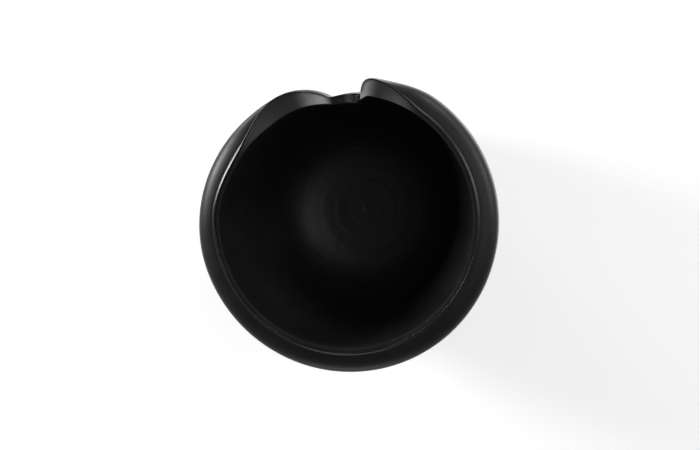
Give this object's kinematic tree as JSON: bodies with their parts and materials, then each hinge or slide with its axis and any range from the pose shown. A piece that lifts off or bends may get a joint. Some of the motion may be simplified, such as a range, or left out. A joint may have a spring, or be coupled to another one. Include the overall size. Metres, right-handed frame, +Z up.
{
  "type": "hair color bowl",
  "caption": "Round black tint bowl: a deep mixing bowl in a ball-shaped casing, with a sculpted brush-rest notch in its rim and a rubber foot ring.",
  "frame": {"origin": "centre of the foot, on the surface that the bowl stands on", "axes": "+Z up through the mouth, +Y from the centre toward the brush rest, +X to the right when the brush rest is farthest from the viewer"},
  "size_m": [0.1365, 0.1333, 0.075],
  "materials": {
    "casing_plastic": "satin moulded black plastic",
    "bowl_plastic": "satin moulded black plastic with faint turning marks",
    "foot_rubber": "matte black rubber"
  },
  "bodies": {
    "root": {"outer_shell": "casing_plastic", "inner_bowl": "bowl_plastic", "foot_ring": "foot_rubber"}
  },
  "joints": []
}
